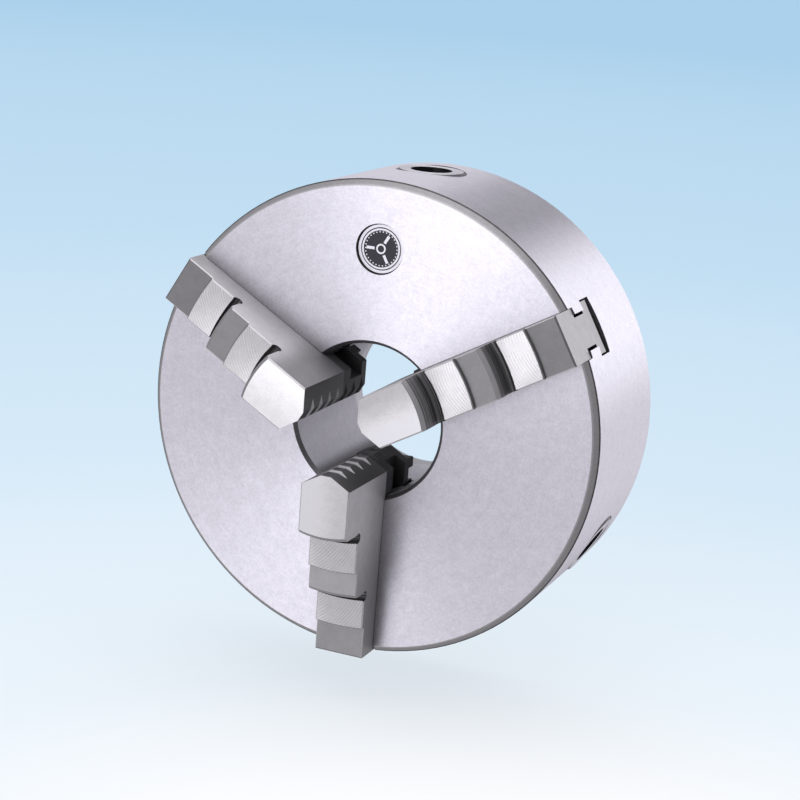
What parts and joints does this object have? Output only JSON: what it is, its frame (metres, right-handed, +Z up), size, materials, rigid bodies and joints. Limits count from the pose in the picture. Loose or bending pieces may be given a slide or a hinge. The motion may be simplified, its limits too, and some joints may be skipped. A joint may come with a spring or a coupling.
{
  "type": "lathe chuck",
  "caption": "Self-centring scroll chuck: stepped jaws slide in T-slots of a round body, driven by a spiral plate and bevel pinions at the rim.",
  "frame": {"origin": "centre of the mounting plane, on the chuck axis at the mouth of the register", "axes": "+Y along the chuck axis towards the lathe spindle, front face towards -Y, +Z up through the badge and one pinion"},
  "size_m": [0.2, 0.1122, 0.2],
  "materials": {
    "body_iron": "fine turned and ground, satin",
    "jaw_steel": "hardened and ground",
    "scroll_steel": "hardened, lightly oiled",
    "pinion_steel": "hardened and ground",
    "cover_iron": "turned",
    "screw_steel": "black oxide",
    "badge_plate": "black enamel field with bright raised rings"
  },
  "bodies": {
    "body": {"chuck_body": "body_iron", "rear_cover": "cover_iron", "badge": "badge_plate", "cover_screw_1": "screw_steel", "cover_screw_2": "screw_steel", "cover_screw_3": "screw_steel", "cover_screw_4": "screw_steel", "cover_screw_5": "screw_steel", "cover_screw_6": "screw_steel", "pinion_screw_1": "screw_steel", "pinion_screw_2": "screw_steel", "pinion_screw_3": "screw_steel"},
    "scroll": {"scroll_plate": "scroll_steel"},
    "jaw_1": {"jaw_1": "jaw_steel"},
    "jaw_2": {"jaw_2": "jaw_steel"},
    "jaw_3": {"jaw_3": "jaw_steel"},
    "pinion_1": {"pinion_1": "pinion_steel"},
    "pinion_2": {"pinion_2": "pinion_steel"},
    "pinion_3": {"pinion_3": "pinion_steel"}
  },
  "joints": [
    {"name": "scroll_turn", "type": "hinge", "parent": "body", "child": "scroll", "pos_m": [0, 0, 0], "axis": [0, 1, 0], "range_deg": [-468, 990]},
    {"name": "jaw_1_slide", "type": "slide", "parent": "body", "child": "jaw_1", "axis": [0, 0, -1], "range_m": [-0.0131, 0.0276]},
    {"name": "jaw_2_slide", "type": "slide", "parent": "body", "child": "jaw_2", "axis": [0.866, 0, 0.5], "range_m": [-0.0131, 0.0276]},
    {"name": "jaw_3_slide", "type": "slide", "parent": "body", "child": "jaw_3", "axis": [-0.866, 0, 0.5], "range_m": [-0.0131, 0.0276]},
    {"name": "pinion_1_turn", "type": "hinge", "parent": "body", "child": "pinion_1", "pos_m": [0, -0.025, 0], "axis": [0, 0, 1], "range_deg": [-2926, 6188]},
    {"name": "pinion_2_turn", "type": "hinge", "parent": "body", "child": "pinion_2", "pos_m": [0, -0.025, 0], "axis": [-0.866, 0, -0.5], "range_deg": [-2926, 6188]},
    {"name": "pinion_3_turn", "type": "hinge", "parent": "body", "child": "pinion_3", "pos_m": [0, -0.025, 0], "axis": [0.866, 0, -0.5], "range_deg": [-2926, 6188]}
  ],
  "couplings": [
    {"joint": "jaw_1_slide", "follows": "scroll_turn", "m_per_rad": 0.0015915},
    {"joint": "jaw_2_slide", "follows": "scroll_turn", "m_per_rad": 0.0015915},
    {"joint": "jaw_3_slide", "follows": "scroll_turn", "m_per_rad": 0.0015915},
    {"joint": "pinion_1_turn", "follows": "scroll_turn", "ratio": 6.25},
    {"joint": "pinion_2_turn", "follows": "scroll_turn", "ratio": 6.25},
    {"joint": "pinion_3_turn", "follows": "scroll_turn", "ratio": 6.25}
  ]
}
